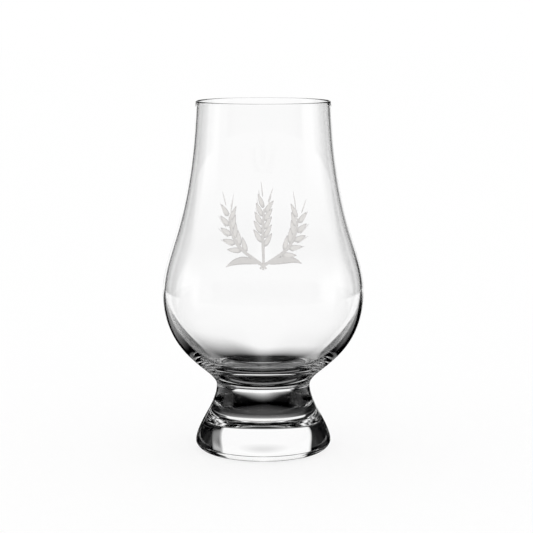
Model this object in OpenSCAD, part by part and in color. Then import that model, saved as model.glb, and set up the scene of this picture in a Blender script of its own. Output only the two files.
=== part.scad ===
// Whisky nosing glass: a blown tulip bowl fused onto a pressed solid foot.
// Millimetres, +Z up, origin at the centre of the plane that the glass rests on.
// The outline runs through the heel, foot, waist, belly and lip. Between two of
// them it is one cubic curve, and neighbouring curves leave their shared point
// along the same line, so the profile has no kink. A pull is the length for
// which a curve keeps its direction at that end.

/* [Overall] */
// Height from the table to the top of the lip
glass_h = 115; // [105:0.5:130]

/* [Mouth] */
// Outer diameter just under the rounded lip
mouth_d = 44; // [38:0.5:50]
// Inward lean of the wall at the lip, in degrees
mouth_lean = 2.5; // [0:0.5:5]
// Pull of the wall downwards from the lip
mouth_pull = 41; // [25:1:45]
// Wall thickness at the lip, which ends in a full round
lip_wall = 0.9; // [0.8:0.1:2]

/* [Belly] */
// Outer diameter at the widest level of the bowl
belly_d = 66; // [60:0.5:74]
// Height of the widest level
belly_z = 52.6; // [46:0.2:56]
// Pull of the outer wall upwards from the belly
belly_up_pull = 13.6; // [8:0.2:18]
// Pull of the outer wall downwards from the belly
belly_down_pull = 22; // [14:0.5:24]
// Wall thickness at the belly
belly_wall = 1; // [0.8:0.1:2.4]

/* [Inside floor] */
// Glass between the fused joint and the lowest point of the inside
floor_t = 3.2; // [2.4:0.1:6]
// Pull of the inside wall outwards from the middle of the floor
floor_pull = 18; // [12:0.1:20]
// Pull of the inside wall downwards from the belly
inside_pull = 16.5; // [12:0.1:18]

/* [Waist, where bowl and foot are fused] */
// Diameter of the waist and of the fused joint
waist_d = 30.8; // [27:0.2:34]
// Height of the waist and of the fused joint
waist_z = 21.5; // [18:0.1:24]
// Pull of the bowl upwards from the waist
waist_up_pull = 5.9; // [3:0.1:8]
// Pull of the foot downwards from the waist
waist_down_pull = 6.3; // [4:0.1:8]

/* [Foot] */
// Diameter of the foot at its widest
foot_d = 44.6; // [42:0.2:50]
// Height of the foot's widest level
foot_z = 2.8; // [2.2:0.1:4]
// Pull of the flank upwards from the widest level
foot_up_pull = 5; // [3:0.1:7]
// Outer diameter of the flat ring that rests on the table
rest_d = 38.4; // [35:0.2:39]
// Width of the resting ring
rest_w = 2; // [1.5:0.1:3]
// Pull of the rounded heel at both its ends
heel_pull = 1.2; // [0.8:0.1:1.6]
// Depth of the hollow under the foot at its middle
hollow_h = 1.25; // [0.5:0.05:2]

/* [Hidden] */

// Number of straight steps in a long curve, the heel, the lip and the hollow
curve_steps = 20;
heel_steps = 8;
lip_steps = 10;
hollow_steps = 8;
$fn = 128;

// Directions in the profile, as [radius, height]
UP = [0, 1];
DOWN = [0, -1];
OUT = [1, 0];
lip_along = [-sin(mouth_lean), cos(mouth_lean)];
lip_across = [cos(mouth_lean), sin(mouth_lean)];

// Points of the profile, as [radius, height]
rest_edge = [rest_d / 2, 0];
foot_edge = [foot_d / 2, foot_z];
waist_edge = [waist_d / 2, waist_z];
waist_mid = [0, waist_z];
belly_edge = [belly_d / 2, belly_z];
belly_inside = belly_edge - belly_wall * OUT;
floor_mid = [0, waist_z + floor_t];
lip_edge = [mouth_d / 2, glass_h - lip_wall / 2 * (1 - sin(mouth_lean))];

// Curves, as [start, handle of the start, handle of the end, end]
heel_curve = [
    rest_edge,
    rest_edge + heel_pull * OUT,
    foot_edge + heel_pull * DOWN,
    foot_edge
];
flank_curve = [
    foot_edge,
    foot_edge + foot_up_pull * UP,
    waist_edge + waist_down_pull * DOWN,
    waist_edge
];
cup_curve = [
    waist_edge,
    waist_edge + waist_up_pull * UP,
    belly_edge + belly_down_pull * DOWN,
    belly_edge
];
chimney_curve = [
    belly_edge,
    belly_edge + belly_up_pull * UP,
    lip_edge - mouth_pull * lip_along,
    lip_edge
];
inside_curve = [
    belly_inside,
    belly_inside + inside_pull * DOWN,
    floor_mid + floor_pull * OUT,
    floor_mid
];

// Point of a curve at share t of its course
function curve_point(c, t) =
    c[0] * pow(1 - t, 3)
    + c[1] * 3 * pow(1 - t, 2) * t
    + c[2] * 3 * (1 - t) * pow(t, 2)
    + c[3] * pow(t, 3);

// Heading of a curve at share t of its course
function curve_heading(c, t) =
    (c[1] - c[0]) * pow(1 - t, 2)
    + (c[2] - c[1]) * 2 * (1 - t) * t
    + (c[3] - c[2]) * pow(t, 2);

// Points of a curve after its start, which the curve before it holds already
function curve_points(c, steps) =
    [for (i = [1 : steps]) curve_point(c, i / steps)];

// Unit vector to the left of a heading: into the bowl, for one that climbs
function left_of(heading) = [-heading[1], heading[0]] / norm(heading);

// Inner wall opposite share t of the chimney, thinning evenly towards the lip
function chimney_inside(t) =
    let (wall = belly_wall + (lip_wall - belly_wall) * t)
    curve_point(chimney_curve, t) + wall * left_of(curve_heading(chimney_curve, t));

// Inner wall from the lip down to the belly
function chimney_inside_points() =
    [for (i = [curve_steps : -1 : 1]) chimney_inside(i / curve_steps)];

// Full round of the lip between the outer and the inner wall
function lip_points() =
    let (centre = lip_edge - lip_wall / 2 * lip_across)
    [
        for (i = [1 : lip_steps - 1])
            let (a = 180 * i / lip_steps)
            centre + lip_wall / 2 * [cos(a), sin(a)]
    ];

// Hollow under the foot, part of a ball, from its middle to the resting ring
function hollow_points() =
    let (
        hollow_r = rest_d / 2 - rest_w,
        ball_r = (pow(hollow_r, 2) + pow(hollow_h, 2)) / (2 * hollow_h),
        half_angle = asin(hollow_r / ball_r)
    )
    [
        for (i = [0 : hollow_steps])
            let (a = half_angle * i / hollow_steps)
            [ball_r * sin(a), hollow_h - ball_r * (1 - cos(a))]
    ];

// Blown bowl: thin wall, fire-polished lip and the thick button under its floor
module bowl() {
    color("lightcyan", 0.5)
    rotate_extrude()
    polygon(concat(
        [waist_mid, waist_edge],
        curve_points(cup_curve, curve_steps),
        curve_points(chimney_curve, curve_steps),
        lip_points(),
        chimney_inside_points(),
        [belly_inside],
        curve_points(inside_curve, curve_steps)
    ));
}

// Pressed foot: solid glass from the resting ring to the fused joint
module foot() {
    color("lightblue", 0.6)
    rotate_extrude()
    polygon(concat(
        hollow_points(),
        [rest_edge],
        curve_points(heel_curve, heel_steps),
        curve_points(flank_curve, curve_steps),
        [waist_mid]
    ));
}

bowl();
foot();
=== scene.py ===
"""Whisky nosing glass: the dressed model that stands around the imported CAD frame.

Metres, +Z up, in the frame of the CAD. Sizes are written in millimetres, as in
the part's source, and turned to metres where a mesh is made.
"""

import logging
import math
from collections.abc import Callable
from dataclasses import dataclass
from enum import Enum

import bpy
from mathutils import Euler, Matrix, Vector


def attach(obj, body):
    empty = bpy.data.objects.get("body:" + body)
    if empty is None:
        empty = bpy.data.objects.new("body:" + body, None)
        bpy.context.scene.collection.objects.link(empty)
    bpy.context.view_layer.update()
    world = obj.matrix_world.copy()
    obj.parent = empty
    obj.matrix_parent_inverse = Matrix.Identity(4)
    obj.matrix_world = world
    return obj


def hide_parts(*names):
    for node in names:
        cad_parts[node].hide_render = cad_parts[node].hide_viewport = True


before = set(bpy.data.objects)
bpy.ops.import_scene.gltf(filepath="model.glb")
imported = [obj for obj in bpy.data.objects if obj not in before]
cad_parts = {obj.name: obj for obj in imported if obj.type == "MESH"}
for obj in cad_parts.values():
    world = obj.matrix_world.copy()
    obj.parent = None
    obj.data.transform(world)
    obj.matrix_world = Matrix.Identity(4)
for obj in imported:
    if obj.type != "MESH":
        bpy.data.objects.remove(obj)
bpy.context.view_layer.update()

log = logging.getLogger("nosing_glass")

MM = 0.001
UP = Vector((0.0, 1.0))
OUT = Vector((1.0, 0.0))


def linear(hex_colour: str) -> tuple[float, float, float, float]:
    """Turn an sRGB hex colour to linear light.

    Args:
        hex_colour: colour as "#RRGGBB".

    Returns:
        Linear red, green, blue and an alpha of 1.
    """
    parts = [int(hex_colour[i : i + 2], 16) / 255 for i in (1, 3, 5)]
    light = [p / 12.92 if p <= 0.04045 else ((p + 0.055) / 1.055) ** 2.4 for p in parts]
    return light[0], light[1], light[2], 1.0


def add_node(
    tree: bpy.types.NodeTree,
    kind: str,
    inputs: dict[str | int, object] | None = None,
    **settings: object,
) -> bpy.types.Node:
    """Add one node with its settings, and link or set its inputs.

    Args:
        tree: shader or geometry tree that takes the node.
        kind: the node's bl_idname.
        inputs: per input name or number, a value to set, or a socket to link, or
            a node whose first output is linked, or a list of these.
        settings: properties of the node.

    Returns:
        The new node.
    """
    node = tree.nodes.new(kind)
    for name, value in settings.items():
        setattr(node, name, value)
    for key, given in (inputs or {}).items():
        for source in given if isinstance(given, list) else [given]:
            if isinstance(source, bpy.types.Node):
                source = source.outputs[0]
            if isinstance(source, bpy.types.NodeSocket):
                tree.links.new(source, node.inputs[key])
            else:
                node.inputs[key].default_value = source
    return node


def new_material(name: str) -> tuple[bpy.types.Material, bpy.types.NodeTree]:
    """Make an empty node material.

    Args:
        name: what the material is.

    Returns:
        The material and its cleared node tree.
    """
    material = bpy.data.materials.new(name)
    material.use_nodes = True
    material.node_tree.nodes.clear()
    return material, material.node_tree


def new_object(name: str, mesh: bpy.types.Mesh) -> bpy.types.Object:
    """Put a mesh into the scene as an object at the origin.

    Args:
        name: the object's name.
        mesh: its mesh, in metres in the frame of the CAD.

    Returns:
        The object.
    """
    piece = bpy.data.objects.new(name, mesh)
    bpy.context.scene.collection.objects.link(piece)
    return piece


class GeometryTree:
    """A Geometry Nodes tree with named inputs, run once on a piece."""

    def __init__(self, name: str, inputs: dict[str, tuple[str, object]]) -> None:
        """Start the tree.

        Args:
            name: what the tree makes.
            inputs: per input name, its socket type and its value.
        """
        self.tree = bpy.data.node_groups.new(name, "GeometryNodeTree")
        side = self.tree.interface
        side.new_socket("Geometry", in_out="OUTPUT", socket_type="NodeSocketGeometry")
        side.new_socket("Geometry", in_out="INPUT", socket_type="NodeSocketGeometry")
        self.values = {key: value for key, (_, value) in inputs.items()}
        self.sockets = {
            key: side.new_socket(key, in_out="INPUT", socket_type=kind).identifier
            for key, (kind, _) in inputs.items()
        }
        self.entry = self.tree.nodes.new("NodeGroupInput")
        self.exit = self.tree.nodes.new("NodeGroupOutput")

    def given(self, name: str) -> bpy.types.NodeSocket:
        """Socket of the named input."""
        return self.entry.outputs[name]

    def add(
        self, kind: str, inputs: dict[str | int, object] | None = None, **settings: object
    ) -> bpy.types.Node:
        """Add a node to this tree, as add_node does."""
        return add_node(self.tree, kind, inputs, **settings)

    def finish(self, geometry: bpy.types.NodeSocket) -> None:
        """Close the tree with its result."""
        self.tree.links.new(geometry, self.exit.inputs[0])

    def bake(self, name: str, base: bpy.types.Mesh) -> bpy.types.Object:
        """Run the tree on a mesh and keep the result as a plain mesh.

        Args:
            name: name of the piece.
            base: mesh that enters the tree.

        Returns:
            The finished piece, with no modifier left.
        """
        carrier = new_object(f"{name}_base", base)
        modifier = carrier.modifiers.new("shape", "NODES")
        modifier.node_group = self.tree
        for key, identifier in self.sockets.items():
            modifier[identifier] = self.values[key]
        graph = bpy.context.evaluated_depsgraph_get()
        mesh = bpy.data.meshes.new_from_object(carrier.evaluated_get(graph))
        mesh.name = name
        if mesh.materials and mesh.materials[0] is None:
            mesh.materials.pop(index=0)
        carrier.modifiers.remove(modifier)
        bpy.data.objects.remove(carrier)
        return new_object(name, mesh)


@dataclass(frozen=True)
class BlownCrystal:
    """Clear lead-free crystal, fire-polished.

    The eye gets a colourless, glossy body whose edges gather the dark of the
    room, with a faint waver where the gob was blown and turned. Mirror images
    are weak, as they are in front of a bright backdrop.
    """

    name: str = "fire_polished_crystal"
    tint: str = "#FFFFFF"
    mirror_tint: str = "#A8A8A8"
    ior: float = 1.52
    roughness: float = 0.0
    waver_mm: float = 9.0
    waver_height_mm: float = 0.004

    def material(self) -> bpy.types.Material:
        """Build the material.

        Returns:
            The crystal's material.
        """
        material, tree = new_material(self.name)
        place = add_node(tree, "ShaderNodeTexCoord").outputs["Object"]
        waver = add_node(
            tree,
            "ShaderNodeTexNoise",
            {"Vector": place, "Scale": 1 / (self.waver_mm * MM), "Detail": 1.0},
        )
        bump = add_node(
            tree, "ShaderNodeBump", {"Distance": self.waver_height_mm * MM, "Height": waver}
        )
        glass = add_node(
            tree,
            "ShaderNodeBsdfPrincipled",
            {
                "Base Color": linear(self.tint),
                "Roughness": self.roughness,
                "IOR": self.ior,
                "Specular Tint": linear(self.mirror_tint),
                "Transmission Weight": 1.0,
                "Normal": bump,
            },
        )
        add_node(tree, "ShaderNodeOutputMaterial", {"Surface": glass})
        return material


@dataclass(frozen=True)
class FusedJoint:
    """The face where two hot gobs melted into one, which no eye can see."""

    name: str = "fused_joint"

    def material(self) -> bpy.types.Material:
        """Build the material.

        Returns:
            A material that lets every ray pass straight on.
        """
        material, tree = new_material(self.name)
        clear = add_node(tree, "ShaderNodeBsdfTransparent")
        add_node(tree, "ShaderNodeOutputMaterial", {"Surface": clear})
        return material


@dataclass(frozen=True)
class AcidEtch:
    """Acid-etched glass, a matt skin of crystals a few micrometres deep.

    The eye gets a pale warm grey frost, cloudier where the acid bit deeper,
    with a painted shade that darkens it along the outline of each mark.
    The real grain is too fine to show, so it is drawn at 0.25 mm.
    """

    name: str = "acid_etched_frost"
    # attribute that holds how much painted shade darkens the frost towards its outline
    edge: str = "etch_edge"
    shallow: str = "#F2EFEC"
    deep: str = "#FCFAF8"
    # painted shade: the darker colour the frost takes towards its outline
    outline: str = "#D3D1D0"
    roughness_even: float = 0.62
    roughness_deep: float = 0.85
    ior: float = 1.5
    grain_mm: float = 0.25
    cloud_mm: float = 2.2
    grain_share: float = 0.4
    grain_height_mm: float = 0.01
    let_through: float = 0.2

    def material(self) -> bpy.types.Material:
        """Build the material.

        Returns:
            The frost's material.
        """
        material, tree = new_material(self.name)
        place = add_node(tree, "ShaderNodeTexCoord").outputs["Object"]
        cloud, grain = (
            add_node(
                tree,
                "ShaderNodeTexNoise",
                {"Vector": place, "Scale": 1 / (size * MM), "Detail": detail},
            )
            for size, detail in ((self.cloud_mm, 3.0), (self.grain_mm, 2.0))
        )
        depth = add_node(tree, "ShaderNodeMix", {0: self.grain_share, 2: cloud, 3: grain})
        colour = add_node(
            tree,
            "ShaderNodeMix",
            {0: depth, 6: linear(self.shallow), 7: linear(self.deep)},
            data_type="RGBA",
        )
        # Painted shade: the frost darkens towards the outline colour by the mesh's edge share.
        edge = add_node(tree, "ShaderNodeAttribute", attribute_name=self.edge).outputs["Fac"]
        shade_outlined = add_node(
            tree,
            "ShaderNodeMix",
            {0: edge, 6: colour.outputs[2], 7: linear(self.outline)},
            data_type="RGBA",
        ).outputs[2]
        roughness = add_node(
            tree,
            "ShaderNodeMapRange",
            {"Value": depth, "To Min": self.roughness_even, "To Max": self.roughness_deep},
        )
        bump = add_node(
            tree, "ShaderNodeBump", {"Distance": self.grain_height_mm * MM, "Height": grain}
        )
        frost = add_node(
            tree,
            "ShaderNodeBsdfPrincipled",
            {"Base Color": shade_outlined, "Roughness": roughness, "IOR": self.ior, "Normal": bump},
        )
        glow = add_node(tree, "ShaderNodeBsdfTranslucent", {"Color": shade_outlined, "Normal": bump})
        skin = add_node(tree, "ShaderNodeMixShader", {0: self.let_through, 1: frost, 2: glow})
        clear = add_node(tree, "ShaderNodeBsdfTransparent")
        one_sided = add_node(
            tree, "ShaderNodeMixShader", {0: self._outer_faces(tree, place), 1: clear, 2: skin}
        )
        add_node(tree, "ShaderNodeOutputMaterial", {"Surface": one_sided})
        return material

    def _outer_faces(
        self, tree: bpy.types.NodeTree, place: bpy.types.NodeSocket
    ) -> bpy.types.NodeSocket:
        """Add the nodes that find the faces of the skin on the air's side.

        The renderer hands a face's normal over turned to the ray, so a face
        met from its back is told by both signs together.

        Args:
            tree: the material's tree.
            place: the place in the object's coordinates.

        Returns:
            A socket that is 1 on those faces, whichever side they are met from.
        """
        level = (1.0, 1.0, 0.0)
        halfway = 0.5
        outward = add_node(tree, "ShaderNodeVectorMath", {0: place, 1: level}, operation="MULTIPLY")
        face = add_node(tree, "ShaderNodeNewGeometry")
        along = add_node(
            tree,
            "ShaderNodeVectorMath",
            {0: outward, 1: face.outputs["True Normal"]},
            operation="DOT_PRODUCT",
        )
        inward = add_node(
            tree, "ShaderNodeMath", {0: along.outputs["Value"], 1: 0.0}, operation="LESS_THAN"
        )
        outer = add_node(
            tree,
            "ShaderNodeMath",
            {0: inward, 1: face.outputs["Backfacing"], 2: halfway},
            operation="COMPARE",
        )
        return outer.outputs[0]


@dataclass(frozen=True)
class Cubic:
    """One cubic curve of a profile, in millimetres as (radius, height)."""

    start: Vector
    start_handle: Vector
    end_handle: Vector
    end: Vector

    def point(self, t: float) -> Vector:
        """Point at share t of the course."""
        s = 1 - t
        return (
            self.start * s**3
            + self.start_handle * 3 * s**2 * t
            + self.end_handle * 3 * s * t**2
            + self.end * t**3
        )

    def heading(self, t: float) -> Vector:
        """Unit heading at share t of the course."""
        s = 1 - t
        way = (
            (self.start_handle - self.start) * s**2
            + (self.end_handle - self.start_handle) * 2 * s * t
            + (self.end - self.end_handle) * t**2
        )
        return way.normalized()

    def points(self, steps: int) -> list[Vector]:
        """Points after the start, which the curve before it holds already."""
        return [self.point(i / steps) for i in range(1, steps + 1)]


@dataclass(frozen=True)
class Waist:
    """The fused joint that bowl and foot share, in millimetres."""

    diameter: float = 30.8
    height: float = 21.5

    @property
    def edge(self) -> Vector:
        """Rim of the joint in the profile."""
        return Vector((self.diameter / 2, self.height))

    @property
    def middle(self) -> Vector:
        """Centre of the joint in the profile."""
        return Vector((0.0, self.height))


@dataclass(frozen=True)
class Lathe:
    """Turns a profile round the glass's axis into one closed body."""

    crystal: bpy.types.Material
    joint: bpy.types.Material
    turn_steps: int = 320
    weld_mm: float = 0.0005
    joint_band_mm: float = 0.0005

    def turn(self, name: str, profile: list[Vector], waist: Waist) -> bpy.types.Object:
        """Turn one body.

        Args:
            name: name of the piece.
            profile: its outline from axis to axis, in millimetres.
            waist: the joint, whose flat face gets the joint's material.

        Returns:
            The finished piece.
        """
        base = bpy.data.meshes.new(f"{name}_profile")
        base.from_pydata([(p.x * MM, 0.0, p.y * MM) for p in profile], [], [])
        lathe = GeometryTree(
            "turned_glass",
            {
                "Turn Steps": ("NodeSocketInt", self.turn_steps),
                "Weld Distance": ("NodeSocketFloat", self.weld_mm * MM),
                "Joint Height": ("NodeSocketFloat", waist.height * MM),
                "Joint Band": ("NodeSocketFloat", self.joint_band_mm * MM),
                "Crystal": ("NodeSocketMaterial", self.crystal),
                "Joint": ("NodeSocketMaterial", self.joint),
            },
        )
        place = lathe.add("GeometryNodeInputPosition")
        closed = lathe.add(
            "GeometryNodeMergeByDistance",
            {"Geometry": self._sheet(lathe, place), "Distance": lathe.given("Weld Distance")},
        )
        height = lathe.add("ShaderNodeSeparateXYZ", {0: place}).outputs["Z"]
        at_joint = lathe.add(
            "ShaderNodeMath",
            {0: height, 1: lathe.given("Joint Height"), 2: lathe.given("Joint Band")},
            operation="COMPARE",
        )
        smooth = lathe.add("GeometryNodeSetShadeSmooth", {"Geometry": closed})
        real = lathe.add("GeometryNodeRealizeInstances", {"Geometry": smooth})
        dressed = lathe.add(
            "GeometryNodeSetMaterial", {"Geometry": real, "Material": lathe.given("Crystal")}
        )
        jointed = lathe.add(
            "GeometryNodeSetMaterial",
            {"Geometry": dressed, "Selection": at_joint, "Material": lathe.given("Joint")},
        )
        lathe.finish(jointed.outputs[0])
        piece = lathe.bake(name, base)
        self._square_joint(piece.data, waist)
        return piece

    def _sheet(self, lathe: GeometryTree, place: bpy.types.Node) -> bpy.types.Node:
        """Carry the profile round the axis as one sheet of faces.

        Args:
            lathe: tree that takes the nodes.
            place: the node of the positions.

        Returns:
            The node of the sheet, with its first and last column in one place.
        """
        outline = lathe.entry.outputs["Geometry"]
        steps = lathe.given("Turn Steps")
        count = lathe.add("GeometryNodeAttributeDomainSize", {"Geometry": outline})
        seam = lathe.add("ShaderNodeMath", {0: steps, 1: 1.0}, operation="ADD")
        sheet = lathe.add(
            "GeometryNodeMeshGrid",
            {"Vertices X": count.outputs["Point Count"], "Vertices Y": seam},
        )
        number = lathe.add("GeometryNodeInputIndex")
        row = lathe.add("ShaderNodeMath", {0: number, 1: seam}, operation="DIVIDE")
        level = lathe.add("ShaderNodeMath", {0: row}, operation="FLOOR")
        column = lathe.add("ShaderNodeMath", {0: number, 1: seam}, operation="MODULO")
        share = lathe.add("ShaderNodeMath", {0: column, 1: steps}, operation="DIVIDE")
        angle = lathe.add("ShaderNodeMath", {0: share, 1: -2 * math.pi}, operation="MULTIPLY")
        station = lathe.add(
            "GeometryNodeSampleIndex",
            {"Geometry": outline, "Value": place, "Index": level},
            data_type="FLOAT_VECTOR",
        )
        turned = lathe.add(
            "ShaderNodeVectorRotate", {"Vector": station, "Angle": angle}, rotation_type="Z_AXIS"
        )
        return lathe.add("GeometryNodeSetPosition", {"Geometry": sheet, "Position": turned})

    def _square_joint(self, mesh: bpy.types.Mesh, waist: Waist) -> None:
        """Give the wall a level normal where it meets the joint.

        Without it the flat joint would bend the wall's shading, and the glass
        would show a line where the real one is fused.

        Args:
            mesh: the turned body.
            waist: the joint.
        """
        height = waist.height * MM
        band = self.joint_band_mm * MM
        flat = {face.index for face in mesh.polygons if abs(face.center.z - height) < band}
        normals = [Vector(corner.vector) for corner in mesh.corner_normals]
        for face in mesh.polygons:
            for loop in face.loop_indices:
                place = mesh.vertices[mesh.loops[loop].vertex_index].co
                if abs(place.z - height) > band:
                    continue
                if face.index in flat:
                    normals[loop] = face.normal.copy()
                else:
                    normals[loop] = Vector((place.x, place.y, 0.0)).normalized()
        mesh.normals_split_custom_set(normals)


@dataclass
class Bowl:
    """The blown tulip: thin wall, fire-polished lip and thick floor.

    The lean of the mouth is in degrees, and a pull is a curve handle's length.
    """

    waist: Waist
    glass_h: float = 115.0
    mouth_d: float = 44.0
    mouth_lean: float = 2.5
    mouth_pull: float = 41.0
    lip_wall: float = 0.9
    belly_d: float = 66.0
    belly_z: float = 52.6
    belly_up_pull: float = 13.6
    belly_down_pull: float = 22.0
    belly_wall: float = 1.0
    floor_t: float = 3.2
    floor_pull: float = 18.0
    inside_pull: float = 16.5
    waist_up_pull: float = 5.9
    cup_steps: int = 60
    chimney_steps: int = 70
    inside_steps: int = 70
    lip_steps: int = 16

    def chimney(self) -> Cubic:
        """Outer wall from the belly to the lip."""
        lean = math.radians(self.mouth_lean)
        along = Vector((-math.sin(lean), math.cos(lean)))
        top = self.glass_h - self.lip_wall / 2 * (1 - math.sin(lean))
        lip_edge = Vector((self.mouth_d / 2, top))
        belly = Vector((self.belly_d / 2, self.belly_z))
        return Cubic(
            belly,
            belly + self.belly_up_pull * UP,
            lip_edge - self.mouth_pull * along,
            lip_edge,
        )

    def profile(self) -> list[Vector]:
        """Outline of the bowl.

        Returns:
            Points from the joint's middle, up the outside, over the lip and
            down to the middle of the inside floor, in millimetres.
        """
        chimney = self.chimney()
        belly = chimney.start
        cup = Cubic(
            self.waist.edge,
            self.waist.edge + self.waist_up_pull * UP,
            belly - self.belly_down_pull * UP,
            belly,
        )
        belly_inside = belly - self.belly_wall * OUT
        floor_mid = self.waist.middle + self.floor_t * UP
        inside = Cubic(
            belly_inside,
            belly_inside - self.inside_pull * UP,
            floor_mid + self.floor_pull * OUT,
            floor_mid,
        )
        return (
            [self.waist.middle, self.waist.edge]
            + cup.points(self.cup_steps)
            + chimney.points(self.chimney_steps)
            + self._lip(chimney.end)
            + self._chimney_inside(chimney)
            + [belly_inside]
            + inside.points(self.inside_steps)
        )

    def _lip(self, edge: Vector) -> list[Vector]:
        """Full round between the outer and the inner wall."""
        lean = math.radians(self.mouth_lean)
        half = self.lip_wall / 2
        centre = edge - half * Vector((math.cos(lean), math.sin(lean)))
        turns = (math.pi * i / self.lip_steps for i in range(1, self.lip_steps))
        return [centre + half * Vector((math.cos(a), math.sin(a))) for a in turns]

    def _chimney_inside(self, chimney: Cubic) -> list[Vector]:
        """Inner wall from the lip down to the belly."""
        points = []
        for i in range(self.chimney_steps, 0, -1):
            t = i / self.chimney_steps
            wall = self.belly_wall + (self.lip_wall - self.belly_wall) * t
            way = chimney.heading(t)
            points.append(chimney.point(t) + wall * Vector((-way.y, way.x)))
        return points

    def build(self, lathe: Lathe) -> bpy.types.Object:
        """Make the bowl and give it to the frame.

        Args:
            lathe: what turns it and holds its finish.

        Returns:
            The bowl.
        """
        piece = lathe.turn("bowl_crystal", self.profile(), self.waist)
        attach(piece, "root")
        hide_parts("bowl")
        return piece


@dataclass
class Foot:
    """The pressed, solid foot with its resting ring and shallow hollow."""

    waist: Waist
    waist_down_pull: float = 6.3
    foot_d: float = 44.6
    foot_z: float = 2.8
    foot_up_pull: float = 5.0
    rest_d: float = 38.4
    rest_w: float = 2.0
    heel_pull: float = 1.2
    hollow_h: float = 1.25
    flank_steps: int = 60
    heel_steps: int = 16
    ring_steps: int = 6
    hollow_steps: int = 24

    def profile(self) -> list[Vector]:
        """Outline of the foot.

        Returns:
            Points from the hollow's middle, out over the resting ring, up the
            flank and in to the joint's middle, in millimetres.
        """
        rest_edge = Vector((self.rest_d / 2, 0.0))
        foot_edge = Vector((self.foot_d / 2, self.foot_z))
        heel = Cubic(
            rest_edge,
            rest_edge + self.heel_pull * OUT,
            foot_edge - self.heel_pull * UP,
            foot_edge,
        )
        flank = Cubic(
            foot_edge,
            foot_edge + self.foot_up_pull * UP,
            self.waist.edge - self.waist_down_pull * UP,
            self.waist.edge,
        )
        steps = range(1, self.ring_steps + 1)
        ring = [rest_edge - OUT * self.rest_w * (1 - i / self.ring_steps) for i in steps]
        return (
            self._hollow()
            + ring
            + heel.points(self.heel_steps)
            + flank.points(self.flank_steps)
            + [self.waist.middle]
        )

    def _hollow(self) -> list[Vector]:
        """Hollow under the foot, part of a ball, out to the resting ring."""
        reach = self.rest_d / 2 - self.rest_w
        ball = (reach**2 + self.hollow_h**2) / (2 * self.hollow_h)
        half_angle = math.asin(reach / ball)
        turns = (half_angle * i / self.hollow_steps for i in range(self.hollow_steps + 1))
        return [
            Vector((ball * math.sin(a), self.hollow_h - ball * (1 - math.cos(a))))
            for a in turns
        ]

    def build(self, lathe: Lathe) -> bpy.types.Object:
        """Make the foot and give it to the frame.

        Args:
            lathe: what turns it and holds its finish.

        Returns:
            The foot.
        """
        piece = lathe.turn("foot_crystal", self.profile(), self.waist)
        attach(piece, "root")
        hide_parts("foot")
        return piece


@dataclass(frozen=True)
class Stem:
    """Course of one barley stem in the flat drawing, in millimetres."""

    root: tuple[float, float]
    root_handle: tuple[float, float]
    tip_handle: tuple[float, float]
    tip: tuple[float, float]


class Taper(Enum):
    """Share of its width that a straw of the sprig has left at both ends."""

    STEM = 0.6
    LEAF = 0.05
    TIE = 0.8


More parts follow.
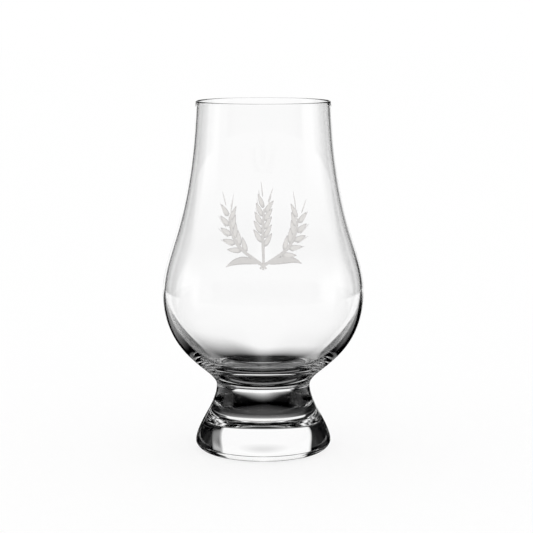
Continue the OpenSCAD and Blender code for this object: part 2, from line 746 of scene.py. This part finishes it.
@dataclass
class BarleySprig:
    """Three ears of barley etched on the front of the bowl, in millimetres."""

    stems: tuple[Stem, ...] = (
        Stem((1.0, -10.6), (-2.6, -6.6), (-10.8, -5.6), (-12.4, 5.0)),
        Stem((0.0, -11.0), (0.3, -5.0), (-0.7, 1.0), (0.4, 7.6)),
        Stem((-1.0, -10.6), (2.8, -6.8), (10.6, -6.4), (12.6, 4.4)),
    )
    leaves: tuple[Stem, ...] = (
        Stem((-0.6, -9.0), (-4.0, -8.6), (-6.8, -6.8), (-11.6, -10.4)),
        Stem((0.6, -9.0), (3.6, -9.0), (7.6, -6.4), (12.2, -9.4)),
    )
    ties: tuple[Stem, ...] = (
        Stem((-1.5, -9.0), (-0.6, -9.3), (0.6, -9.3), (1.5, -9.0)),
    )
    centre_height: float = 75.0
    bend_radius: float = 30.0
    film: float = 0.06
    gap: float = 0.02
    stem_width: float = 0.95
    leaf_width: float = 2.3
    ear_start: float = 0.36
    ear_end: float = 0.92
    ear_stagger: float = 0.07
    grain_rows: int = 5
    grain_length: float = 4.8
    grain_width: float = 2.0
    grain_spread: float = 0.62
    awn_length: float = 5.0
    awn_width: float = 0.5
    awn_spread: float = 0.30
    grain_lift: float = 0.12
    awn_lift: float = 0.8
    blade_foot: float = 1.15
    blade_tip: float = 0.4
    # Painted shade: straws take the first share of the outline's darkening all along; blades darken
    # from the second share of their half-width out to the rim.
    straw_edge_shade: float = 0.35
    edge_shade_from: float = 0.6
    unit_radius: float = 0.5
    curve_steps: int = 48
    section_sides: int = 8
    ball_cuts: int = 4
    throw: float = 50.0

    def _tree(self, bowl: bpy.types.Object, etch: bpy.types.Material) -> GeometryTree:
        """Start the tree with the drawing's sizes as its inputs.

        Args:
            bowl: the bowl that carries the etching.
            etch: its finish.

        Returns:
            The tree with its named inputs.
        """
        sizes = {
            "Grain Length": self.grain_length,
            "Grain Width": self.grain_width,
            "Awn Length": self.awn_length,
            "Awn Width": self.awn_width,
            "Stem Width": self.stem_width,
            "Leaf Width": self.leaf_width,
            "Film": self.film,
            "Gap": self.gap,
            "Centre Height": self.centre_height,
            "Bend Radius": self.bend_radius,
        }
        inputs = {name: ("NodeSocketFloat", size * MM) for name, size in sizes.items()}
        inputs |= {
            "Grain Spread": ("NodeSocketFloat", self.grain_spread),
            "Awn Spread": ("NodeSocketFloat", self.awn_spread),
            "Grain Rows": ("NodeSocketInt", self.grain_rows),
            "Bowl": ("NodeSocketObject", bowl),
            "Etch": ("NodeSocketMaterial", etch),
        }
        return GeometryTree("barley_sprig", inputs)

    def _courses(self, tree: GeometryTree, stems: tuple[Stem, ...]) -> bpy.types.NodeSocket:
        """Draw the courses of stems, leaves or ties.

        Args:
            tree: tree that takes the nodes.
            stems: where they run.

        Returns:
            Socket of the curves.
        """
        courses = []
        for stem in stems:
            ends = [stem.root, stem.root_handle, stem.tip_handle, stem.tip]
            points = {i + 1: (x * MM, y * MM, 0.0) for i, (x, y) in enumerate(ends)}
            course = tree.add(
                "GeometryNodeCurvePrimitiveBezierSegment",
                {0: self.curve_steps, **points},
                mode="POSITION",
            )
            courses.append(course)
        return tree.add("GeometryNodeJoinGeometry", {0: courses}).outputs[0]

    def _straws(
        self, tree: GeometryTree, courses: bpy.types.NodeSocket, wide: str, taper: Taper
    ) -> bpy.types.NodeSocket:
        """Give stems or leaves their width, swelling towards the middle.

        Args:
            tree: tree that takes the nodes.
            courses: where they run.
            wide: input with their width.
            taper: how thin their ends are.

        Returns:
            Socket of the flat straws.
        """
        share = tree.add("GeometryNodeSplineParameter").outputs["Factor"]
        angle = tree.add("ShaderNodeMath", {0: share, 1: math.pi}, operation="MULTIPLY")
        swell = tree.add("ShaderNodeMath", {0: angle}, operation="SINE")
        width = tree.add(
            "ShaderNodeMapRange", {"Value": swell, "To Min": taper.value, "To Max": 1.0}
        )
        even = tree.add("GeometryNodeResampleCurve", {"Curve": courses, "Count": self.curve_steps})
        level = tree.add("GeometryNodeSetCurveNormal", {"Curve": even}, mode="Z_UP")
        ring = tree.add(
            "GeometryNodeCurvePrimitiveCircle",
            {"Resolution": self.section_sides, "Radius": self.unit_radius},
        )
        size = tree.add(
            "ShaderNodeCombineXYZ", {"X": tree.given(wide), "Y": tree.given("Film"), "Z": 1.0}
        )
        section = tree.add("GeometryNodeTransform", {"Geometry": ring, "Scale": size})
        straws = tree.add(
            "GeometryNodeCurveToMesh",
            {"Curve": level, "Profile Curve": section, "Scale": width, "Fill Caps": True},
        )
        # Painted shade: every straw darkens by a fixed share towards the frost's outline colour.
        marked = tree.add(
            "GeometryNodeStoreNamedAttribute",
            {"Geometry": straws, "Name": AcidEtch.edge, "Value": self.straw_edge_shade},
        )
        return marked.outputs[0]

    def _blade(self, tree: GeometryTree, long: str, wide: str, lift: float) -> bpy.types.NodeSocket:
        """Make one pointed oval that stands on the origin, out of a ball.

        Args:
            tree: tree that takes the nodes.
            long: input with its length.
            wide: input with its width.
            lift: share of the grain's length that it starts above the origin.

        Returns:
            Socket of its mesh.
        """
        radius = self.unit_radius
        ball = tree.add(
            "GeometryNodeMeshIcoSphere", {"Radius": radius, "Subdivisions": self.ball_cuts}
        )
        place = tree.add("GeometryNodeInputPosition")
        parts = tree.add("ShaderNodeSeparateXYZ", {0: place}).outputs
        slim = tree.add(
            "ShaderNodeMapRange",
            {
                "Value": parts["Y"],
                "From Min": -radius,
                "From Max": radius,
                "To Min": self.blade_foot,
                "To Max": self.blade_tip,
            },
        )
        across = tree.add("ShaderNodeMath", {0: parts["X"], 1: slim}, operation="MULTIPLY")
        raised = tree.add("ShaderNodeMath", {0: parts["Y"], 1: radius}, operation="ADD")
        shape = tree.add("ShaderNodeCombineXYZ", {"X": across, "Y": raised, "Z": parts["Z"]})
        size = tree.add(
            "ShaderNodeCombineXYZ",
            {"X": tree.given(wide), "Y": tree.given(long), "Z": tree.given("Film")},
        )
        scaled = tree.add("ShaderNodeVectorMath", {0: shape, 1: size}, operation="MULTIPLY")
        start = tree.add(
            "ShaderNodeMath", {0: tree.given("Grain Length"), 1: lift}, operation="MULTIPLY"
        )
        away = tree.add("ShaderNodeCombineXYZ", {"Y": start})
        moved = tree.add("ShaderNodeVectorMath", {0: scaled, 1: away}, operation="ADD")
        # Painted shade along the blade's outline: 0 inside, rising to 1 at its rim.
        flat_share = (1 / radius, 1 / radius, 0.0)
        level = tree.add("ShaderNodeVectorMath", {0: place, 1: flat_share}, operation="MULTIPLY")
        reach = tree.add("ShaderNodeVectorMath", {0: level}, operation="LENGTH").outputs["Value"]
        edge = tree.add("ShaderNodeMapRange", {"Value": reach, "From Min": self.edge_shade_from})
        marked = tree.add(
            "GeometryNodeStoreNamedAttribute", {"Geometry": ball, "Name": AcidEtch.edge, "Value": edge}
        )
        blade = tree.add("GeometryNodeSetPosition", {"Geometry": marked, "Position": moved})
        return blade.outputs[0]

    def _ears(self, tree: GeometryTree, stems: bpy.types.NodeSocket) -> list[bpy.types.NodeSocket]:
        """Set grains and awns in two rows along the top of each stem.

        Args:
            tree: tree that takes the nodes.
            stems: the stems' courses.

        Returns:
            Sockets of the rows of instances.
        """
        grain = self._blade(tree, "Grain Length", "Grain Width", self.grain_lift)
        awn = self._blade(tree, "Awn Length", "Awn Width", self.awn_lift)
        rows = []
        for side, later in ((-1.0, 0.0), (1.0, self.ear_stagger)):
            top = tree.add(
                "GeometryNodeTrimCurve",
                {"Curve": stems, 2: self.ear_start + later, 3: self.ear_end + later},
                mode="FACTOR",
            )
            nodes = tree.add(
                "GeometryNodeCurveToPoints",
                {"Curve": top, "Count": tree.given("Grain Rows")},
                mode="COUNT",
            )
            along = tree.add(
                "FunctionNodeAlignRotationToVector",
                {"Vector": nodes.outputs["Tangent"]},
                axis="Y",
                pivot_axis="Z",
            )
            for blade, spread in ((grain, "Grain Spread"), (awn, "Awn Spread")):
                lean = tree.add(
                    "ShaderNodeMath", {0: tree.given(spread), 1: side}, operation="MULTIPLY"
                )
                turn = tree.add(
                    "FunctionNodeAxisAngleToRotation", {"Axis": (0.0, 0.0, 1.0), "Angle": lean}
                )
                facing = tree.add(
                    "FunctionNodeRotateRotation", {0: along, 1: turn}, rotation_space="LOCAL"
                )
                row = tree.add(
                    "GeometryNodeInstanceOnPoints",
                    {"Points": nodes, "Instance": blade, "Rotation": facing},
                )
                rows.append(row.outputs[0])
        return rows

    def _wrap(self, tree: GeometryTree, drawing: bpy.types.NodeSocket) -> bpy.types.NodeSocket:
        """Lay the flat drawing round the front of the bowl.

        Args:
            tree: tree that takes the nodes.
            drawing: the drawing, with its depth along Z.

        Returns:
            Socket of the wrapped drawing.
        """
        place = tree.add("GeometryNodeInputPosition")
        parts = tree.add("ShaderNodeSeparateXYZ", {0: place}).outputs
        angle = tree.add(
            "ShaderNodeMath", {0: parts["X"], 1: tree.given("Bend Radius")}, operation="DIVIDE"
        )
        across = tree.add("ShaderNodeMath", {0: angle}, operation="SINE")
        facing = tree.add("ShaderNodeMath", {0: angle}, operation="COSINE")
        back = tree.add("ShaderNodeMath", {0: facing, 1: -1.0}, operation="MULTIPLY")
        outward = tree.add("ShaderNodeCombineXYZ", {"X": across, "Y": back})
        height = tree.add(
            "ShaderNodeMath", {0: parts["Y"], 1: tree.given("Centre Height")}, operation="ADD"
        )
        level = tree.add("ShaderNodeCombineXYZ", {"Z": height})
        far = tree.add(
            "ShaderNodeVectorMath",
            {0: outward, 1: (self.throw * MM,) * 3, 2: level},
            operation="MULTIPLY_ADD",
        )
        inward = tree.add("ShaderNodeVectorMath", {0: outward, "Scale": -1.0}, operation="SCALE")
        bowl = tree.add("GeometryNodeObjectInfo", {"Object": tree.given("Bowl")})
        touch = tree.add(
            "GeometryNodeRaycast",
            {
                "Target Geometry": bowl.outputs["Geometry"],
                "Source Position": far,
                "Ray Direction": inward,
                "Ray Length": self.throw * MM,
            },
        ).outputs
        half = tree.add(
            "ShaderNodeMath",
            {0: tree.given("Film"), 1: 0.5, 2: tree.given("Gap")},
            operation="MULTIPLY_ADD",
        )
        rise = tree.add("ShaderNodeMath", {0: half, 1: parts["Z"]}, operation="ADD")
        off = tree.add(
            "ShaderNodeVectorMath", {0: touch["Hit Normal"], "Scale": rise}, operation="SCALE"
        )
        spot = tree.add("ShaderNodeVectorMath", {0: touch["Hit Position"], 1: off}, operation="ADD")
        laid = tree.add("GeometryNodeSetPosition", {"Geometry": drawing, "Position": spot})
        return laid.outputs[0]

    def build(self, bowl: bpy.types.Object, etch: bpy.types.Material) -> bpy.types.Object:
        """Etch the sprig on the bowl.

        Args:
            bowl: the bowl that carries it.
            etch: its finish.

        Returns:
            The sprig.
        """
        tree = self._tree(bowl, etch)
        stems, leaves, ties = (
            self._courses(tree, part) for part in (self.stems, self.leaves, self.ties)
        )
        drawn = [
            self._straws(tree, stems, "Stem Width", Taper.STEM),
            self._straws(tree, leaves, "Leaf Width", Taper.LEAF),
            self._straws(tree, ties, "Stem Width", Taper.TIE),
        ] + self._ears(tree, stems)
        flat = tree.add("GeometryNodeJoinGeometry", {0: drawn})
        real = tree.add("GeometryNodeRealizeInstances", {"Geometry": flat})
        laid = self._wrap(tree, real.outputs[0])
        smooth = tree.add("GeometryNodeSetShadeSmooth", {"Geometry": laid})
        dressed = tree.add(
            "GeometryNodeSetMaterial", {"Geometry": smooth, "Material": tree.given("Etch")}
        )
        tree.finish(dressed.outputs[0])
        piece = tree.bake("etched_sprig", bpy.data.meshes.new("sprig_base"))
        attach(piece, "root")
        return piece


@dataclass(frozen=True)
class FloorPaper:
    """Matt white paper sweep that keeps the object's soft shadow.

    The eye gets it nearly white, also in mirror images and through glass.
    """

    name: str = "white_paper"
    colour: str = "#FEFEFE"
    shown_white: float = 0.75

    def material(self) -> bpy.types.Material:
        """Build the material.

        Returns:
            The floor's material.
        """
        material, tree = new_material(self.name)
        path = add_node(tree, "ShaderNodeLightPath").outputs
        seen = path["Is Camera Ray"]
        for other in ("Is Glossy Ray", "Is Transmission Ray"):
            seen = add_node(tree, "ShaderNodeMath", {0: seen, 1: path[other]}, operation="MAXIMUM")
        share = add_node(
            tree, "ShaderNodeMath", {0: seen, 1: self.shown_white}, operation="MULTIPLY"
        )
        lit = add_node(tree, "ShaderNodeBsdfDiffuse", {"Color": linear(self.colour)})
        white = add_node(tree, "ShaderNodeEmission", {"Strength": 1.0})
        mixed = add_node(tree, "ShaderNodeMixShader", {0: share, 1: lit, 2: white})
        add_node(tree, "ShaderNodeOutputMaterial", {"Surface": mixed})
        return material


@dataclass(frozen=True)
class FlockedCard:
    """Matt flocked card, as the flags round a glass on a table-top set are.

    The eye gets it only in the glass: round it as the dark bands that draw its edges,
    and on the floor card as painted shadow around the foot.
    """

    name: str = "flocked_card_black"
    colour: str = "#040405"
    cover: str = "cover"

    def material(self) -> bpy.types.Material:
        """Build the material.

        Returns:
            The card's material, clear where the mesh's cover is 0 and for
            light on its way to a matt surface.
        """
        material, tree = new_material(self.name)
        lit = add_node(tree, "ShaderNodeBsdfDiffuse", {"Color": linear(self.colour)})
        clear = add_node(tree, "ShaderNodeBsdfTransparent")
        cover = add_node(tree, "ShaderNodeAttribute", attribute_name=self.cover).outputs["Fac"]
        depth = add_node(tree, "ShaderNodeLightPath").outputs["Diffuse Depth"]
        unlit = add_node(tree, "ShaderNodeMath", {0: depth, 1: 1.0}, operation="LESS_THAN")
        shown = add_node(tree, "ShaderNodeMath", {0: cover, 1: unlit}, operation="MULTIPLY")
        mixed = add_node(tree, "ShaderNodeMixShader", {0: shown, 1: clear, 2: lit})
        add_node(tree, "ShaderNodeOutputMaterial", {"Surface": mixed})
        return material


@dataclass(frozen=True)
class Window:
    """An opening in the dark surround that lets the white through.

    Bearings are in degrees from straight behind the glass, to the right as
    the camera sees it; heights are in millimetres.
    """

    bearing: float
    half_width: float
    bottom: float
    top: float
    strength: float = 1.0
    side_blur: float = 2.0
    top_blur: float = 5.0

    def light(self, bearing: float, height: float) -> float:
        """Light it gives at one place of the surround.

        Args:
            bearing: bearing in degrees, -180 to 180.
            height: height in millimetres.

        Returns:
            Share from 0 (dark) to 1 (white).
        """
        off = abs(bearing - self.bearing)
        beside = min(off, 360 - off) - self.half_width
        above = max(height - self.top, self.bottom - height)
        across = min(1.0, max(0.0, 0.5 - beside / self.side_blur))
        upward = min(1.0, max(0.0, 0.5 - above / self.top_blur))
        return across * upward * self.strength


@dataclass(frozen=True)
class FloorFade:
    """Where the dark floor card is solid and where clear, at one bearing.

    The bearing is in degrees as for a window, the distances from the glass's
    axis in millimetres.
    """

    bearing: float
    solid: float
    clear: float

    def towards(self, other: "FloorFade", bearing: float) -> "FloorFade":
        """Fade at a bearing between this one and the next.

        Args:
            other: the next fade.
            bearing: bearing between the two.

        Returns:
            The fade there, eased from one to the other.
        """
        t = (bearing - self.bearing) / (other.bearing - self.bearing)
        ease = t * t * (3 - 2 * t)
        return FloorFade(
            bearing,
            self.solid + (other.solid - self.solid) * ease,
            self.clear + (other.clear - self.clear) * ease,
        )


@dataclass
class Studio:
    """Floor, world and cards of a bright-field set for glass."""

    floor_reach: float = 6000.0
    floor_drop: float = 0.05
    card_drop: float = 0.02
    windows: tuple[Window, ...] = (
        Window(-2.5, 26.5, -30, 150, top_blur=50),
        Window(-90, 15, -30, 150, side_blur=8, top_blur=50),
        Window(95, 18, -30, 150, side_blur=12, top_blur=50),
        Window(28, 4, 60, 100, strength=0.45),
        Window(0, 70, 210, 600, strength=0.2, side_blur=10, top_blur=10),
        Window(180, 65, -90, 60, strength=0.8, side_blur=40, top_blur=160),
    )
    floor_fades: tuple[FloorFade, ...] = (
        FloorFade(-180, 10, 25),
        FloorFade(-150, 50, 120),
        FloorFade(-90, 55, 100),
        FloorFade(-60, 65, 115),
        FloorFade(-46, 72, 140),
        FloorFade(-38, 100, 260),
        FloorFade(-32, 380, 400),
        FloorFade(-25, 380, 400),
        FloorFade(-21, 56, 120),
        FloorFade(-18, 44, 130),
        FloorFade(-10, 36, 125),
        FloorFade(0, 26, 74),
        FloorFade(10, 32, 85),
        FloorFade(18, 36, 85),
        FloorFade(23, 48, 85),
        FloorFade(26, 380, 400),
        FloorFade(38, 380, 400),
        FloorFade(48, 80, 180),
        FloorFade(60, 60, 100),
        FloorFade(90, 55, 100),
        FloorFade(150, 50, 120),
        FloorFade(180, 10, 25),
    )
    wall_radius: float = 400.0
    wall_height: float = 500.0
    wall_rows: int = 50
    lid_gap: float = 1.0
    lid_hole: float = 1.0
    shade_power: float = 1.5
    shade_rings: int = 80
    card_step_deg: float = 1.5

    def build(self) -> None:
        """Make the world, the floor and the two dark cards round the glass."""
        self._world()
        self._floor()
        flock = FlockedCard().material()
        rise = self.wall_height / self.wall_rows
        wall = [(self.wall_radius, row * rise) for row in range(self.wall_rows + 1)]
        lid = [(reach, self.wall_height) for reach in (self.wall_radius - self.lid_gap, self.lid_hole)]
        self._card("surround", wall + lid, self._wall_cover, flock)
        # The floor card is painted shadow: a dark sheet, shown only through the glass, for a dark
        # table top and the glass's own shadow around its foot.
        shares = [ring / self.shade_rings for ring in range(1, self.shade_rings + 1)]
        shade = [(self.wall_radius * share**2, -self.card_drop) for share in shares]
        self._card("floor_shade", shade, self._floor_cover, flock)

    def _world(self) -> None:
        """White surroundings that light the set at a plain level."""
        world = bpy.data.worlds.new("studio")
        world.use_nodes = True
        tree = world.node_tree
        tree.nodes.clear()
        white = {"Color": (1.0, 1.0, 1.0, 1.0), "Strength": 1.0}
        light = add_node(tree, "ShaderNodeBackground", white)
        add_node(tree, "ShaderNodeOutputWorld", {"Surface": light})
        bpy.context.scene.world = world

    def _floor(self) -> None:
        """Flat pale floor, a hair below the resting ring."""
        reach = self.floor_reach * MM
        low = -self.floor_drop * MM
        mesh = bpy.data.meshes.new("floor")
        corners = [(x * reach, y * reach, low) for x, y in ((-1, -1), (1, -1), (1, 1), (-1, 1))]
        mesh.from_pydata(corners, [], [(0, 1, 2, 3)])
        mesh.materials.append(FloorPaper().material())
        new_object("floor", mesh)

    def _card(
        self,
        name: str,
        rings: list[tuple[float, float]],
        cover_at: Callable[[float, float, float], float],
        flock: bpy.types.Material,
    ) -> None:
        """Set up a card that only mirror images and glass show.

        Args:
            name: the card's name.
            rings: radius and height of each of its rings in millimetres.
            cover_at: cover at a bearing, a radius and a height.
            flock: its material.
        """
        count = round(360 / self.card_step_deg)
        bearings = [-180 + i * self.card_step_deg for i in range(count)]
        places = [(bearing, *ring) for ring in rings for bearing in bearings]
        faces = []
        for low in range(0, len(places) - count, count):
            for i in range(count):
                nxt = (i + 1) % count
                faces.append((low + i, low + count + i, low + count + nxt, low + nxt))
        mesh = bpy.data.meshes.new(name)
        mesh.from_pydata([self._place(*place) for place in places], [], faces)
        layer = mesh.attributes.new(FlockedCard.cover, "FLOAT", "POINT")
        layer.data.foreach_set("value", [cover_at(*place) for place in places])
        mesh.materials.append(flock)
        card = new_object(name, mesh)
        card.visible_camera = False
        card.visible_diffuse = False
        card.visible_shadow = False

    def _wall_cover(self, bearing: float, radius: float, height: float) -> float:
        """Cover of the surround at one place.

        Args:
            bearing: bearing in degrees, -180 to 180.
            radius: distance from the glass's axis in millimetres.
            height: height in millimetres.

        Returns:
            Cover from 0 (clear) to 1 (solid).
        """
        if radius < self.wall_radius:
            return 1.0
        return 1.0 - max(window.light(bearing, height) for window in self.windows)

    def _floor_cover(self, bearing: float, radius: float, height: float) -> float:
        """Cover of the dark floor card at one place.

        Args:
            bearing: bearing in degrees, -180 to 180.
            radius: distance from the glass's axis in millimetres.
            height: height of the card, which plays no part.

        Returns:
            Cover from 0 (clear) to 1 (solid).
        """
        fades = self.floor_fades
        after = next(i for i in range(1, len(fades)) if fades[i].bearing >= bearing)
        fade = fades[after - 1].towards(fades[after], bearing)
        left = (fade.clear - radius) / (fade.clear - fade.solid)
        return min(1.0, max(0.0, left)) ** self.shade_power

    def _place(self, bearing: float, radius: float, height: float) -> Vector:
        """Point at a bearing in degrees, a radius and a height in millimetres."""
        turn = math.radians(bearing)
        return Vector((radius * math.sin(turn), radius * math.cos(turn), height)) * MM


@dataclass
class PhotoCamera:
    """Camera at the photograph's viewing angle; lengths in mm, angles in rad."""

    distance: float = 584.5
    height: float = 143.96
    pitch_down: float = 0.14144
    yaw_right: float = 0.00183
    lens: float = 121.52
    sensor: float = 36.0

    def build(self) -> None:
        """Make the camera and set it as the scene's."""
        data = bpy.data.cameras.new("camera")
        data.sensor_width = self.sensor
        data.lens = self.lens
        camera = bpy.data.objects.new("camera", data)
        camera.location = (0.0, -self.distance * MM, self.height * MM)
        camera.rotation_euler = Euler((math.pi / 2 - self.pitch_down, 0.0, -self.yaw_right))
        bpy.context.scene.collection.objects.link(camera)
        bpy.context.scene.camera = camera


def set_quality() -> None:
    """Plain view transform, and enough bounces for light inside thick glass."""
    scene = bpy.context.scene
    scene.view_settings.view_transform = "Standard"
    cycles = scene.cycles
    cycles.max_bounces = 32
    cycles.transmission_bounces = 32
    cycles.glossy_bounces = 24
    cycles.diffuse_bounces = 2
    cycles.transparent_max_bounces = 16
    cycles.caustics_reflective = False
    cycles.caustics_refractive = True
    cycles.use_adaptive_sampling = False
    cycles.use_denoising = True


def main() -> None:
    """Build the scene in order and report each piece."""
    logging.basicConfig(level=logging.INFO, format="%(name)s %(message)s")
    set_quality()
    PhotoCamera().build()
    Studio().build()
    lathe = Lathe(BlownCrystal().material(), FusedJoint().material())
    waist = Waist()
    foot = Foot(waist).build(lathe)
    bowl = Bowl(waist).build(lathe)
    sprig = BarleySprig().build(bowl, AcidEtch().material())
    for piece in (foot, bowl, sprig):
        log.info("%s: %d faces", piece.name, len(piece.data.polygons))


if __name__ == "__main__":
    main()
